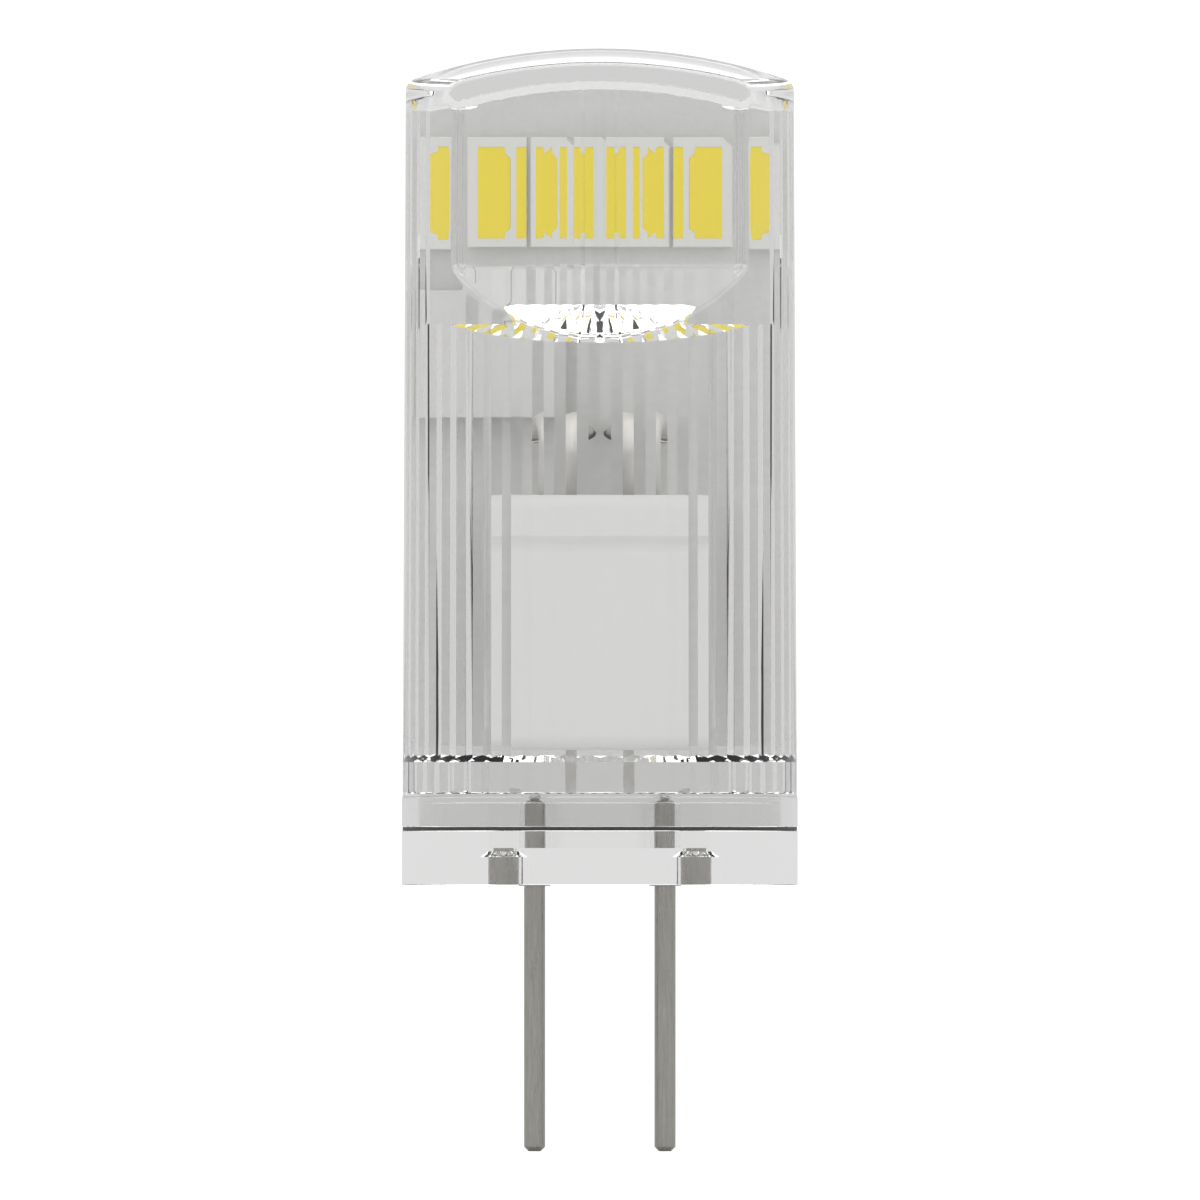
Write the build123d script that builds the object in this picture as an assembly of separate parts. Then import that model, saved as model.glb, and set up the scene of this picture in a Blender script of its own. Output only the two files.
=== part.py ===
from build123d import *
import math
import os

# Small two-pin LED capsule bulb, all lengths in millimetres.
# +Z runs up the bulb's axis, the pins point down, -Y is the front face with the first LED row.
# The origin is the centre of the base's flat underside.

# Contact pins
pin_spacing = 4.0
pin_diameter = 0.65
pin_reach = 8.17
pin_head_height = 2.6
pin_tip_chamfer = 0.14
collar_radius = 0.49
collar_foot = 0.03
collar_height = 0.85

# Base plug
base_radius = 6.07
flange_height = 1.67
ring_thickness = 0.11
ring_inset = 0.02
base_floor = 1.13
pocket_radius = 3.4
spigot_height = 0.86
spigot_clearance = 0.05
boss_wall = 0.155
boss_clearance = 0.01
boss_height = 2.5

# Clear cover
skirt_height = 0.92
cover_step = 0.02
cover_draft = 0.10
cover_height = 25.66
dome_radius = 17.8
dome_edge_fillet = 0.3
window_cut = 2.21
window_height = 6.7
ramp_angle = 45.0
cover_wall = 0.5
window_wall = 0.76
ledge_wall = 0.17
ceiling_wall = 0.96
ceiling_radius = 15.8
flute_count = 50
flute_depth = 0.08
window_flute_depth = 0.1
window_line_shift = 0.063
flute_foot = 4.14
flute_chamfer = 0.46
counterbore_wall = 0.5

# Circuit board
board_thickness = 0.6
board_foot_gap = 0.11
board_top_gap = 0.2
board_wall_gap = 0.06
board_corner = 0.5

# LED packages, three on each face
led_count = 3
led_height = 3.46
led_thickness = 0.5
led_gap = 0.34
led_rise = 0.52
led_side_air = 0.235
led_window_air = 0.83
led_window_inset_x = 0.41
led_window_inset_z = 0.3
led_window_chamfer = 0.35
led_window_depth = 0.15
led_notch = 0.3

# Electrolytic capacitor
can_foot_gap = 0.0
can_head_room = 7.52
can_shoulder = 0.45
can_wall = 0.25
can_rim = 0.5
can_board_gap = 0.03
can_cover_gap = 0.11
groove_gap = 0.03
groove_width = 0.55
groove_depth = 0.25
seal_thickness = 1.23
lead_spacing = 2.5
lead_diameter = 0.55
lead_rise = 2.15
lead_bend = 0.6

# Parts on the board
chip_capacitor_size = (3.0, 1.3, 3.95)
chip_capacitor_edge_gap = 0.24
chip_capacitor_drop = 1.23
chip_capacitor_edge = 0.05
rectifier_size = (4.6, 1.1, 3.2)
rectifier_gap = 0.4
driver_size = (1.7, 1.0, 2.9)
driver_gap = 0.25
driver_x = 0.9
leg_width = 0.4
leg_thickness = 0.2
leg_reach = 0.6
leg_pitch = 1.1
choke_radius = 1.5
choke_height = 1.2
choke_cover_gap = 0.3
choke_gap = 0.4
resistor_size = (1.6, 0.45, 0.8)
resistor_pitch = 0.92
resistor_rise = 0.65
resistor_x = 3.1
resistor_count = 3

# Feed wires and solder
wire_diameter = 0.36
wire_board_reach = 1.6
wire_bend = 0.5
solder_radius = 0.55
solder_height = 0.3
part_gap = 0.02

# Places that follow from the sizes above
pin_x = pin_spacing / 2
pin_radius = pin_diameter / 2
cover_foot = flange_height + ring_thickness
skirt_top = cover_foot + skirt_height
body_radius = base_radius - cover_step
crown_radius = body_radius - cover_draft
ramp_slope = math.tan(math.radians(ramp_angle))
window_depth = base_radius - window_cut
window_foot = cover_height - window_height
inner_window = window_depth - window_wall
flute_valley = crown_radius - cover_wall
flute_crest = flute_valley - flute_depth
counterbore = base_radius - counterbore_wall
flute_mouth = flute_foot - flute_chamfer
ledge = window_foot + window_depth - flute_valley - ledge_wall
ceiling = cover_height - ceiling_wall
spigot_radius = counterbore - spigot_clearance
hole_radius = pin_radius + boss_clearance
collar_hole = collar_radius + boss_clearance
collar_slope = collar_radius - pin_radius
led_foot = window_foot + led_rise
led_top = led_foot + led_height
led_back_face = inner_window - led_window_air
led_row_half = math.sqrt(flute_crest ** 2 - led_back_face ** 2) - led_side_air
led_width = (2 * led_row_half - (led_count - 1) * led_gap) / led_count
led_pitch = led_width + led_gap
board_back = led_back_face - led_thickness
board_front = board_back - board_thickness
board_middle = (board_front + board_back) / 2
board_foot = flute_foot + board_foot_gap
board_top = ceiling
board_half_width = math.sqrt(flute_crest ** 2 - board_back ** 2) - board_wall_gap
can_radius = (flute_crest - can_cover_gap + board_front - can_board_gap) / 2
can_y = board_front - can_radius - can_board_gap
can_foot = flute_foot + can_foot_gap
can_top = led_foot - can_head_room
seal_foot = can_top - seal_thickness
lead_x = lead_spacing / 2
lead_radius = lead_diameter / 2
lead_top = can_top + lead_rise
lead_end_z = lead_top - lead_radius
wire_radius = wire_diameter / 2
wire_top = board_foot + wire_board_reach
choke_z = wire_top + choke_gap + choke_radius
choke_x = -(math.sqrt(flute_crest ** 2 - (board_back + choke_height) ** 2) - choke_radius - choke_cover_gap)
driver_foot = lead_end_z - solder_radius - driver_gap - driver_size[2]
rectifier_foot = lead_end_z + solder_radius + rectifier_gap
chip_capacitor_top = led_foot - chip_capacitor_drop
chip_capacitor_left = -(board_half_width - chip_capacitor_edge_gap)


def box_between(low, high):
    """Box with its lowest and highest corners at the given points."""
    size = [b - a for a, b in zip(low, high)]
    middle = [(a + b) / 2 for a, b in zip(low, high)]
    return Pos(*middle) * Box(*size)


def upright(radius, low, high, x=0.0, y=0.0):
    """Round post between two heights."""
    return Pos(x, y, (low + high) / 2) * Cylinder(radius, high - low)


def turned(points):
    """Solid turned about Z from (radius, height) points."""
    outline = Polyline(*[(r, 0, z) for r, z in points], close=True)
    return revolve(make_face(outline), Axis.Z)


def window_cutter(depth, foot):
    """Material outside the front or back window: flat above its foot, then the ramp down to the wall."""
    reach = 2 * base_radius
    drop = (reach - depth) * ramp_slope
    outline = Polyline((0, depth, 2 * cover_height), (0, depth, foot), (0, reach, foot - drop),
                       (0, reach, 2 * cover_height), close=True)
    front_half = extrude(make_face(outline), reach, dir=(1, 0, 0), both=True)
    return front_half + mirror(front_half, Plane.XZ)


def domed_column(radius_low, radius_high, low, top, sphere_radius, edge_fillet=0.0):
    """Tapered column closed by a spherical dome, its edge rounded where a fillet is given."""
    flank = Polyline((0, 0, low), (radius_low, 0, low), (radius_high, 0, top), (0, 0, top), close=True)
    disc = Plane.XZ * (Pos(0, top - sphere_radius) * Circle(sphere_radius))
    section = make_face(flank) & disc
    if edge_fillet:
        corner = section.vertices().sort_by(lambda vertex: vertex.X + vertex.Z)[-1]
        section = fillet(corner, edge_fillet)
    return revolve(section, Axis.Z)


def flute_point(index, flat):
    """One corner of the fluted section: a valley in the wall or the crest between two valleys."""
    angle = math.pi * index / flute_count - math.pi / 2
    out_x, out_y = math.cos(angle), math.sin(angle)
    if flat and abs(out_y) * flute_valley > flat:
        x = flat * out_x / abs(out_y)
        crest = flat - window_flute_depth
        if min(index % flute_count, -index % flute_count) == 2:
            x += math.copysign(window_line_shift, x)
        return x, math.copysign(crest if index % 2 else flat, out_y)
    radius = flute_crest if index % 2 else flute_valley
    return radius * out_x, radius * out_y


def fluted_core(low, high, flat=0.0):
    """Core that leaves the V flutes inside the wall, flattened front and back where a flat is given."""
    points = [(*flute_point(i, flat), low) for i in range(2 * flute_count)]
    return extrude(make_face(Polyline(*points, close=True)), high - low, dir=(0, 0, 1))


def clear_cover():
    """One-piece clear cap: domed, with a flat window front and back and flutes inside."""
    body = domed_column(body_radius, crown_radius, skirt_top, cover_height, dome_radius, dome_edge_fillet)
    body += upright(base_radius, cover_foot, skirt_top)
    body -= window_cutter(window_depth, window_foot)
    core = fluted_core(flute_mouth, ledge) + fluted_core(ledge, cover_height, inner_window)
    core &= domed_column(flute_valley, flute_valley, flute_mouth, ceiling, ceiling_radius)
    mouth = turned([(0, cover_foot), (counterbore, cover_foot), (counterbore, flute_mouth),
                    (flute_crest, flute_foot), (0, flute_foot)])
    return body - core - mouth


def collar(radius, neck, lift=0.0):
    """Thick foot of a pin, narrowing at 45 degrees to the pin itself."""
    top = collar_height + lift
    outline = [(0, -collar_foot), (radius, -collar_foot), (radius, top), (neck, top + collar_slope)]
    return turned(outline + [(0, top + collar_slope)])


def base_plug():
    """Clear plug that closes the cover, with a pocket above its floor and a sleeve round each pin."""
    plug = upright(base_radius, 0, flange_height)
    plug += upright(spigot_radius, flange_height, flange_height + spigot_height)
    plug -= upright(pocket_radius, base_floor, skirt_top)
    for side in (-1, 1):
        x = side * pin_x
        plug += upright(hole_radius + boss_wall, base_floor, boss_height, x)
        plug -= upright(hole_radius, -base_floor, 2 * boss_height, x)
        plug -= Pos(x, 0, 0) * collar(collar_hole, hole_radius, boss_clearance)
    return plug


def seal_ring():
    """Thin dark ring pressed between the flange and the cover's foot, round the spigot."""
    ring = upright(base_radius - ring_inset, flange_height, cover_foot)
    return ring - upright(spigot_radius + part_gap, 0, 2 * cover_foot)


def contact_pin(side):
    """Straight contact pin with a chamfered tip, thicker where the base grips it."""
    x = side * pin_x
    pin = upright(pin_radius, -pin_reach, pin_head_height, x)
    tip = pin.edges().filter_by(GeomType.CIRCLE).sort_by(Axis.Z)[0]
    pin = chamfer(tip, pin_tip_chamfer) + Pos(x, 0, 0) * collar(collar_radius, pin_radius)
    head = pin.edges().filter_by(GeomType.CIRCLE).sort_by(Axis.Z)[-1]
    return fillet(head, pin_tip_chamfer)


def circuit_board():
    """Upright board behind the capacitor, with holes for its leads."""
    board = box_between((-board_half_width, board_front, board_foot), (board_half_width, board_back, board_top))
    board = chamfer(board.edges().filter_by(Axis.Y).group_by(Axis.Z)[0], board_corner)
    arch = Rot(90, 0, 0) * Cylinder(ceiling_radius - board_top_gap, 4 * board_thickness)
    board &= Pos(0, board_middle, ceiling - ceiling_radius) * arch
    for side in (-1, 1):
        hole = Rot(90, 0, 0) * Cylinder(lead_radius + part_gap, 4 * board_thickness)
        board -= Pos(side * lead_x, board_middle, lead_end_z) * hole
    return board


def to_face(piece, face):
    """Piece modelled on the front face, or turned half round the board's middle for the back."""
    if face == "front":
        return piece
    return Pos(0, board_middle, 0) * Rot(0, 0, 180) * Pos(0, -board_middle, 0) * piece


def led_pocket(x):
    """Recess of an LED package that its phosphor fills."""
    low_z = led_foot + led_window_inset_z
    high_z = led_top - led_window_inset_z
    half = led_width / 2 - led_window_inset_x
    front = board_front - led_thickness
    pocket = box_between((x - half, front, low_z), (x + half, front + led_window_depth, high_z))
    return chamfer(pocket.edges().filter_by(Axis.Y), led_window_chamfer)


def led_body(x):
    """White LED package with its phosphor recess and one notched corner."""
    front = board_front - led_thickness
    body = box_between((x - led_width / 2, front, led_foot), (x + led_width / 2, board_front, led_top))
    corner = body.edges().filter_by(Axis.Y).sort_by(lambda edge: edge.center().X + edge.center().Z)[-1]
    return chamfer(corner, led_notch) - led_pocket(x)


def capacitor_can():
    """Aluminium can, crimped round its seal and closed at the foot."""
    groove_high = seal_foot - groove_gap
    groove_low = groove_high - groove_width
    groove_mid = (groove_low + groove_high) / 2
    bore = can_radius - can_wall
    can = turned([(0, can_foot), (can_radius, can_foot), (can_radius, groove_low),
                  (can_radius - groove_depth, groove_mid), (can_radius, groove_high),
                  (can_radius, can_top), (0, can_top)])
    rims = can.edges().filter_by(GeomType.CIRCLE).sort_by(Axis.Z)
    can = fillet([rims[0], rims[-1]], can_shoulder)
    can -= upright(bore, seal_foot, can_top - can_rim)
    can -= upright(bore - can_rim, can_top - can_rim, can_top + can_rim)
    return Pos(0, can_y, 0) * can


def capacitor_seal():
    """Rubber bung under the can's rolled rim, with two lead holes."""
    bore = can_radius - can_wall - part_gap
    seal = upright(bore, seal_foot, can_top - can_rim - part_gap)
    seal += upright(bore - can_rim, can_top - can_rim - part_gap, can_top - can_rim / 2)
    for side in (-1, 1):
        seal -= upright(lead_radius + part_gap, can_foot, 2 * can_top, side * lead_x)
    return Pos(0, can_y, 0) * seal


def bent_wire(points, bend, radius):
    """Round wire along straight runs joined by arcs."""
    path = FilletPolyline(*points, radius=bend)
    start = Vector(*points[0])
    heading = Vector(*points[1]) - start
    section = Plane(origin=start, z_dir=heading) * Circle(radius)
    return sweep(section, path=path)


def capacitor_lead(side):
    """Tinned lead that rises from the seal and bends back through the board."""
    x = side * lead_x
    start = (x, can_y, seal_foot + part_gap)
    points = [start, (x, can_y, lead_end_z), (x, board_back + solder_height / 2, lead_end_z)]
    return bent_wire(points, lead_bend, lead_radius)


def feed_wire(side):
    """Thin wire from a pin's head, back and up to a pad on the rear of the board."""
    x = side * pin_x
    rear = board_back + wire_radius + part_gap
    level = pin_head_height + wire_radius + part_gap
    points = [(x, 0, level), (x, rear, level), (x, rear, wire_top)]
    return bent_wire(points, wire_bend, wire_radius)


def solder_joints():
    """Solder on the rear of the board round each lead end, one small cone each."""
    joints = []
    for side in (-1, 1):
        cone = Rot(-90, 0, 0) * Cone(solder_radius, lead_radius + part_gap, solder_height)
        lead_hole = Rot(90, 0, 0) * Cylinder(lead_radius + part_gap, 4 * solder_height)
        place = Pos(side * lead_x, board_back + solder_height / 2, lead_end_z)
        joints.append(place * (cone - lead_hole))
    return Compound(children=joints)


def chip_capacitor():
    """Large ceramic chip capacitor on the left of the front face, under the LEDs."""
    width, depth, height = chip_capacitor_size
    low = (chip_capacitor_left, board_front - depth, chip_capacitor_top - height)
    high = (chip_capacitor_left + width, board_front, chip_capacitor_top)
    return chamfer(box_between(low, high).edges(), chip_capacitor_edge)


def legged_chip(size, foot, x=0.0):
    """Moulded chip on the rear face and the metal legs at its two sides."""
    width, depth, height = size
    low = (x - width / 2, board_back, foot)
    high = (x + width / 2, board_back + depth, foot + height)
    body = chamfer(box_between(low, high).edges().filter_by(Axis.Z), leg_thickness)
    legs = []
    rows = int((height - leg_width) / leg_pitch) + 1
    first = foot + height / 2 - leg_pitch * (rows - 1) / 2
    for side in (-1, 1):
        inner = x + side * (width / 2 + part_gap)
        outer = x + side * (width / 2 + leg_reach)
        for row in range(rows):
            z = first + row * leg_pitch
            legs.append(box_between((min(inner, outer), board_back, z - leg_width / 2),
                                    (max(inner, outer), board_back + leg_thickness, z + leg_width / 2)))
    return body, Compound(children=legs)


def choke():
    """Small drum choke on the rear face."""
    drum = Cylinder(choke_radius, choke_height)
    waist = Cylinder(choke_radius, choke_height / 3) - Cylinder(choke_radius * 0.75, choke_height)
    place = Pos(choke_x, board_back + choke_height / 2, choke_z)
    return place * Rot(90, 0, 0) * (drum - waist)


def chip_resistors():
    """Row of small chip resistors on the rear face."""
    width, depth, height = resistor_size
    pieces = []
    for i in range(resistor_count):
        z = board_foot + resistor_rise + i * resistor_pitch
        pieces.append(box_between((resistor_x - width / 2, board_back, z),
                                  (resistor_x + width / 2, board_back + depth, z + height)))
    return Compound(children=pieces)


def all_parts():
    """Every sub-part under its node name."""
    parts = {
        "clear_cover": clear_cover(),
        "base_plug": base_plug(),
        "seal_ring": seal_ring(),
        "contact_pin_left": contact_pin(-1),
        "contact_pin_right": contact_pin(1),
        "circuit_board": circuit_board(),
        "capacitor_can": capacitor_can(),
        "capacitor_seal": capacitor_seal(),
        "capacitor_lead_left": capacitor_lead(-1),
        "capacitor_lead_right": capacitor_lead(1),
        "feed_wire_left": feed_wire(-1),
        "feed_wire_right": feed_wire(1),
        "solder_joints": solder_joints(),
        "chip_capacitor": chip_capacitor(),
        "choke": choke(),
        "chip_resistors": chip_resistors(),
    }
    parts["rectifier_body"], parts["rectifier_legs"] = legged_chip(rectifier_size, rectifier_foot)
    parts["driver_body"], parts["driver_legs"] = legged_chip(driver_size, driver_foot, driver_x)
    for face in ("front", "back"):
        for i in range(led_count):
            x = (i - (led_count - 1) / 2) * led_pitch
            parts[f"led_{face}_{i + 1}"] = to_face(led_body(x), face)
            parts[f"phosphor_{face}_{i + 1}"] = to_face(led_pocket(x), face)
    return parts


os.makedirs("parts", exist_ok=True)
for name, shape in all_parts().items():
    export_step(shape, f"parts/{name}.step")
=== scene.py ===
"""LED capsule bulb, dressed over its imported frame.

Sizes are in millimetres and are turned into metres when a piece is made. X runs to the right,
Y to the rear and Z up, from the underside of the base.
"""

import logging
import math
from dataclasses import dataclass, field
from enum import Enum
from typing import Optional, Sequence

import bmesh
import bpy
import numpy as np
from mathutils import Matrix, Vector


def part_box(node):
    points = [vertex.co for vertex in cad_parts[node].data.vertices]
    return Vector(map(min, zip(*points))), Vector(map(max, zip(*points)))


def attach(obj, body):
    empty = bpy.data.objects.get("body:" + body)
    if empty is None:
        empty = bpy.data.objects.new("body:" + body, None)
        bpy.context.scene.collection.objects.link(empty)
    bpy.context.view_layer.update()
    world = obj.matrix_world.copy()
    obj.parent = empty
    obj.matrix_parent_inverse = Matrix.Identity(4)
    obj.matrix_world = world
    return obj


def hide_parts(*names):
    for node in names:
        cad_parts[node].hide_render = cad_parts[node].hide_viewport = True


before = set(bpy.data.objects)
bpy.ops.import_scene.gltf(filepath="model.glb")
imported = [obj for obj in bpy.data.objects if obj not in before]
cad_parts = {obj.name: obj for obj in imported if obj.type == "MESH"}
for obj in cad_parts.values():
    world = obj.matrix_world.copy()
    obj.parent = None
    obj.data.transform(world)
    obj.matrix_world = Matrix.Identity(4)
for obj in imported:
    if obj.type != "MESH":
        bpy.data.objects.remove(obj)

LOG = logging.getLogger("led_capsule_bulb")
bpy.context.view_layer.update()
MM = 0.001
TINY = 1e-6
SHARP = 35.0
BEVEL_SEGMENTS = 3
ARC_STEPS = 12
WIRE_SOFT = 0.06
NOISE_LOW, NOISE_HIGH = 0.3, 0.7
BUMP_STRENGTH = 0.6
CUTTER_PAST = 1.0

Point = tuple[float, float, float]
Outline = list[tuple[float, float]]
Ring = list[int]
Thing = bpy.types.Object


class Axis(Enum):
    """Direction that a turned piece stands along."""

    UP = "up"
    REAR = "rear"


class Cut(Enum):
    """What one mesh does to another."""

    ADD = "UNION"
    TAKE = "DIFFERENCE"


def rounded(corners: Sequence[tuple[float, float, float]], steps: int = 5, closed: bool = False) -> Outline:
    """Rounds the corners of a flat outline.

    Args:
        corners: First coordinate, second coordinate and rounding of each corner.
        steps: Points on each rounded corner, less one.
        closed: Whether the last corner joins the first.

    Returns:
        The outline's points.
    """
    points: Outline = []
    count = len(corners)
    for i, (a, b, size) in enumerate(corners):
        ends_line = not closed and i in (0, count - 1)
        if ends_line or size <= 0:
            points.append((a, b))
            continue
        here = np.array((a, b))
        before = np.array(corners[i - 1][:2]) - here
        after = np.array(corners[(i + 1) % count][:2]) - here
        before /= np.linalg.norm(before)
        after /= np.linalg.norm(after)
        half = math.acos(float(np.clip(before @ after, -1, 1))) / 2
        reach = size / math.tan(half)
        start, end = here + before * reach, here + after * reach
        middle = (before + after) / np.linalg.norm(before + after)
        centre = here + middle * size / math.sin(half)
        sweep = math.pi - 2 * half
        for k in range(steps + 1):
            t = k / steps
            arm = (start - centre) * math.sin((1 - t) * sweep) + (end - centre) * math.sin(t * sweep)
            arm = arm / np.linalg.norm(arm) * size
            points.append((float(centre[0] + arm[0]), float(centre[1] + arm[1])))
    return points


def soften(mesh: bmesh.types.BMesh, edges: Sequence[bmesh.types.BMEdge], size: float) -> None:
    """Rounds edges by a size, where that is above 0."""
    if size > 0:
        bmesh.ops.bevel(mesh, geom=edges, offset=size, segments=BEVEL_SEGMENTS, profile=0.5, affect="EDGES")


def shade(mesh: bpy.types.Mesh, sharp: float) -> None:
    """Shades a mesh smooth but for edges sharper than an angle in degrees."""
    mesh.shade_smooth()
    mesh.set_sharp_from_angle(angle=math.radians(sharp))


@dataclass
class Sketch:
    """Mesh that is being drawn."""

    points: list[Point] = field(default_factory=list)
    faces: list[tuple[int, ...]] = field(default_factory=list)
    finish_of: list[int] = field(default_factory=list)

    def face(self, corners: Sequence[int], finish: int) -> None:
        """Adds a face, without any corner that comes twice."""
        kept = [c for i, c in enumerate(corners) if c != corners[i - 1]]
        if len(set(kept)) > 2:
            self.faces.append(tuple(kept))
            self.finish_of.append(finish)

    def turn(self, outline: Outline, at: Point = (0, 0, 0), axis: Axis = Axis.UP, steps: int = 96,
             loop: bool = False, finish: int = 0) -> "Sketch":
        """Turns an outline of radius and height about an axis.

        Args:
            outline: Radius and height of each point, upwards on the outside.
            at: Where the axis stands.
            axis: Direction of the axis.
            steps: Points round the axis.
            loop: Whether the outline is a closed ring clear of the axis.
            finish: Which of the piece's finishes the faces take.

        Returns:
            This sketch.
        """
        rings: list[Ring] = []
        for radius, height in outline:
            ring: Ring = []
            for k in range(1 if radius < TINY else steps):
                turn = 2 * math.pi * k / steps
                a, b = radius * math.cos(turn), radius * math.sin(turn)
                spot = (a, b, height) if axis is Axis.UP else (a, height, -b)
                ring.append(len(self.points))
                self.points.append(tuple(p + q for p, q in zip(spot, at)))
            rings.append(ring)
        pairs = list(zip(rings, rings[1:]))
        if loop:
            pairs.append((rings[-1], rings[0]))
        for low, high in pairs:
            for k in range(steps):
                n = (k + 1) % steps
                quad = (low[k % len(low)], low[n % len(low)], high[n % len(high)], high[k % len(high)])
                self.face(quad, finish)
        return self

    def block(self, low: Point, high: Point, edge: float = 0.0, finish: int = 0) -> "Sketch":
        """Box between two corners, its edges rounded by a small size."""
        mesh = bmesh.new()
        bmesh.ops.create_cube(mesh, size=1)
        for vertex in mesh.verts:
            vertex.co = Vector([a + (b - a) * (c + 0.5) for a, b, c in zip(low, high, vertex.co)])
        soften(mesh, mesh.edges[:], edge)
        self.take(mesh, finish)
        return self

    def take(self, mesh: bmesh.types.BMesh, finish: int) -> None:
        """Adds a bmesh to the sketch and frees it."""
        first = len(self.points)
        mesh.verts.index_update()
        self.points.extend(tuple(v.co) for v in mesh.verts)
        for item in mesh.faces:
            self.face([first + v.index for v in item.verts], finish)
        mesh.free()

    def slab(self, outline: Outline, front: float, back: float, edge: float = 0.0,
             finish: int = 0) -> "Sketch":
        """Flat plate of an X, Z outline between two Y values, its front edge rounded."""
        mesh = bmesh.new()
        corners = [mesh.verts.new((x, back, z)) for x, z in outline]
        plate = mesh.faces.new(corners)
        pushed = bmesh.ops.extrude_face_region(mesh, geom=[plate])
        moved = [item for item in pushed["geom"] if isinstance(item, bmesh.types.BMVert)]
        bmesh.ops.translate(mesh, verts=moved, vec=(0, front - back, 0))
        soften(mesh, [item for item in mesh.edges if all(v in moved for v in item.verts)], edge)
        bmesh.ops.recalc_face_normals(mesh, faces=mesh.faces[:])
        self.take(mesh, finish)
        return self

    def tube(self, route: Sequence[Point], radius: float, bend: float, steps: int = 28,
             finish: int = 0) -> "Sketch":
        """Round wire along straight runs joined by arcs, with softly cut ends."""
        spine: list[Vector] = [Vector(route[0])]
        for before, here, after in zip(route, route[1:], route[2:]):
            corner = Vector(here)
            back = (Vector(before) - corner).normalized()
            ahead = (Vector(after) - corner).normalized()
            half = back.angle(ahead) / 2
            centre = corner + (back + ahead).normalized() * bend / math.sin(half)
            start = corner + back * bend / math.tan(half) - centre
            end = corner + ahead * bend / math.tan(half) - centre
            for k in range(ARC_STEPS + 1):
                spine.append(centre + start.slerp(end, k / ARC_STEPS))
        spine.append(Vector(route[-1]))
        side = (spine[1] - spine[0]).orthogonal().normalized()
        first = len(self.points)
        soft = min(WIRE_SOFT, radius / 3)
        rows: list[tuple[Vector, Vector, float]] = []
        for i, spot in enumerate(spine):
            way = (spine[min(i + 1, len(spine) - 1)] - spine[max(i - 1, 0)]).normalized()
            if i == 0:
                rows += [(spot, way, radius - soft), (spot + way * soft, way, radius)]
            elif i == len(spine) - 1:
                rows += [(spot - way * soft, way, radius), (spot, way, radius - soft)]
            else:
                rows.append((spot, way, radius))
        for spot, way, size in rows:
            side = (side - way * side.dot(way)).normalized()
            up = way.cross(side)
            for k in range(steps):
                turn = 2 * math.pi * k / steps
                self.points.append(tuple(spot + (side * math.cos(turn) + up * math.sin(turn)) * size))
        for row in range(len(rows) - 1):
            for k in range(steps):
                n = (k + 1) % steps
                low, high = first + row * steps, first + (row + 1) * steps
                self.face((low + k, low + n, high + n, high + k), finish)
        self.face(range(first, first + steps)[::-1], finish)
        self.face(range(first + (len(rows) - 1) * steps, first + len(rows) * steps), finish)
        return self

    def thing(self, name: str, sharp: float = SHARP) -> Thing:
        """Makes the Blender object, smooth but for edges sharper than an angle in degrees."""
        mesh = bpy.data.meshes.new(name)
        mesh.from_pydata([[c * MM for c in p] for p in self.points], [], self.faces)
        mesh.polygons.foreach_set("material_index", self.finish_of)
        mesh.validate()
        shade(mesh, sharp)
        thing = bpy.data.objects.new(name, mesh)
        bpy.context.scene.collection.objects.link(thing)
        return thing

    def seat(self, node: str, slot: str, *finishes: "Finish", sharp: float = SHARP) -> None:
        """Makes the piece that stands for a CAD node, and dresses it."""
        seat_piece(self.thing(f"dressed_{node}", sharp), slot, [node], finishes)


def carve(body: Thing, tools: Sequence[tuple[Thing, Cut]], sharp: float = SHARP) -> None:
    """Joins meshes to a body or takes them from it, and removes them."""
    for tool, cut in tools:
        change = body.modifiers.new(tool.name, "BOOLEAN")
        change.operation = cut.value
        change.solver = "EXACT"
        change.object = tool
    graph = bpy.context.evaluated_depsgraph_get()
    made = bpy.data.meshes.new_from_object(body.evaluated_get(graph))
    body.modifiers.clear()
    body.data = made
    shade(made, sharp)
    for tool, _ in tools:
        bpy.data.objects.remove(tool)


def weigh_normals(thing: Thing, sharp: float = SHARP) -> None:
    """Weights the normals by face size, so that large faces stay flat beside their small roundings.

    Args:
        thing: The piece.
        sharp: Angle in degrees from which two faces keep an edge between them.
    """
    mesh = thing.data
    limit = math.cos(math.radians(sharp))
    around: list[list[int]] = [[] for _ in mesh.vertices]
    ways = [(face.normal.copy(), face.area) for face in mesh.polygons]
    for face in mesh.polygons:
        for vertex in face.vertices:
            around[vertex].append(face.index)
    corners = []
    for face in mesh.polygons:
        own = ways[face.index][0]
        for vertex in face.vertices:
            near = [ways[i] for i in around[vertex] if ways[i][0].dot(own) > limit]
            total = sum((way * size for way, size in near), Vector((0.0, 0.0, 0.0)))
            corners.append(total.normalized() if total.length > 0 else own)
    mesh.normals_split_custom_set(corners)


def seat_piece(thing: Thing, slot: str, nodes: Sequence[str], finishes: Sequence["Finish | ClearPlastic"],
               weigh: bool = True) -> None:
    """Dresses a piece, puts it on the body and lets it stand for its CAD nodes.

    Args:
        thing: The piece.
        slot: Slot of its main finish.
        nodes: CAD nodes that it stands for.
        finishes: Its finishes, in the order that its faces name them.
        weigh: Whether its normals are weighted by the size of its faces.
    """
    if weigh:
        weigh_normals(thing)
    thing.data.materials.clear()
    for finish in finishes:
        thing.data.materials.append(finish.material())
    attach(thing, "root")
    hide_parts(*nodes)
    LOG.info("%s: %d faces, slot %s", thing.name, len(thing.data.polygons), slot)


def span(node: str) -> tuple[Point, Point]:
    """Lowest and highest corner of a CAD node, in millimetres."""
    low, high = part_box(node)
    return tuple(c / MM for c in low), tuple(c / MM for c in high)


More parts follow.
